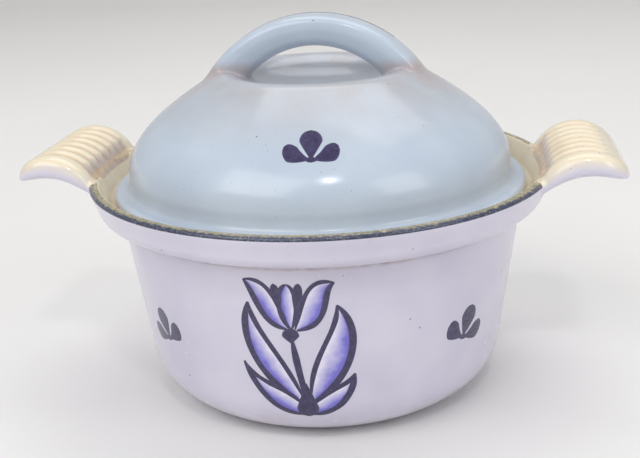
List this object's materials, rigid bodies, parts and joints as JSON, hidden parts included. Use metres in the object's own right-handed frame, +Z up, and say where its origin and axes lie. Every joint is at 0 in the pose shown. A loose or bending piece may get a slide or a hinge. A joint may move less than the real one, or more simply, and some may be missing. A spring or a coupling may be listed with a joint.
{
  "type": "covered casserole",
  "caption": "Round enamelled cast-iron casserole with fluted side lugs and a domed lid with a bridge handle, painted with a blue flower.",
  "frame": {"origin": "middle of the foot ring's underside, on the table plane", "axes": "+Z up, +X through the right-hand lug, -Y towards the painted flower"},
  "size_m": [0.271, 0.208, 0.1687],
  "materials": {
    "iron": "bare ground grey iron",
    "wall_enamel": "glossy pale lavender-white enamel",
    "cream_enamel": "glossy cream enamel, tan where it is worn",
    "lid_enamel": "glossy pale blue-grey enamel",
    "lining_enamel": "glossy off-white enamel",
    "navy_paint": "dark navy fired paint, worn",
    "violet_paint": "translucent periwinkle fired paint"
  },
  "bodies": {
    "pot": {"pot_casting": "iron", "pot_enamel": "wall_enamel", "pot_lining": "cream_enamel", "rim_line": "navy_paint", "left_lug_enamel": "cream_enamel", "right_lug_enamel": "cream_enamel", "flower_outline": "navy_paint", "flower_fill": "violet_paint", "wall_sprigs": "navy_paint"},
    "lid": {"lid_casting": "iron", "lid_enamel": "lid_enamel", "lid_lining": "lining_enamel", "lid_sprig": "navy_paint", "bridge_line": "navy_paint"}
  },
  "joints": [
    {"name": "lid_lift", "type": "slide", "parent": "pot", "child": "lid", "axis": [0, 0, 1], "range_m": [0, 0.12]}
  ]
}
